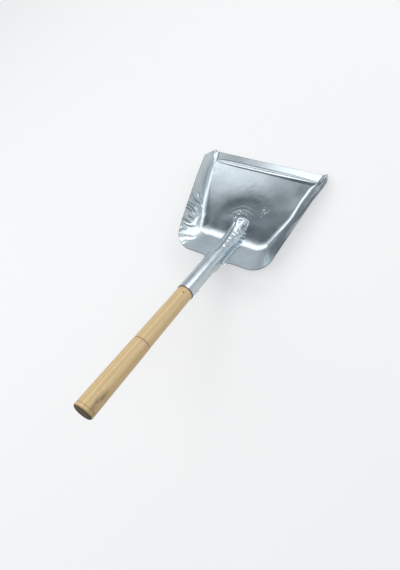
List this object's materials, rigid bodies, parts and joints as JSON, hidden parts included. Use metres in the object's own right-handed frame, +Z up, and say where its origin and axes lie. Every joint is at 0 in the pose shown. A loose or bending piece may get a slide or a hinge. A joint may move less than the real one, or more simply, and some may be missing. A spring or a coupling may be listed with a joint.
{
  "type": "dustpan",
  "caption": "Shovel-type dustpan pressed from galvanised sheet, with flared walls, a raised bead behind the lip and a rolled socket that holds a turned wooden handle.",
  "frame": {"origin": "middle of the pan's flat underside", "axes": "+X to the right seen from the handle, +Y from the handle towards the front lip, +Z up from the floor that the pan lies on"},
  "size_m": [0.2444, 0.5151, 0.2227],
  "materials": {
    "galvanised_sheet": "bright galvanised sheet, satin",
    "handle_wood": "pale turned wood, thin varnish",
    "nail_steel": "dull zinc"
  },
  "bodies": {
    "root": {"pan": "galvanised_sheet", "handle": "handle_wood", "handle_nail": "nail_steel"}
  },
  "joints": []
}
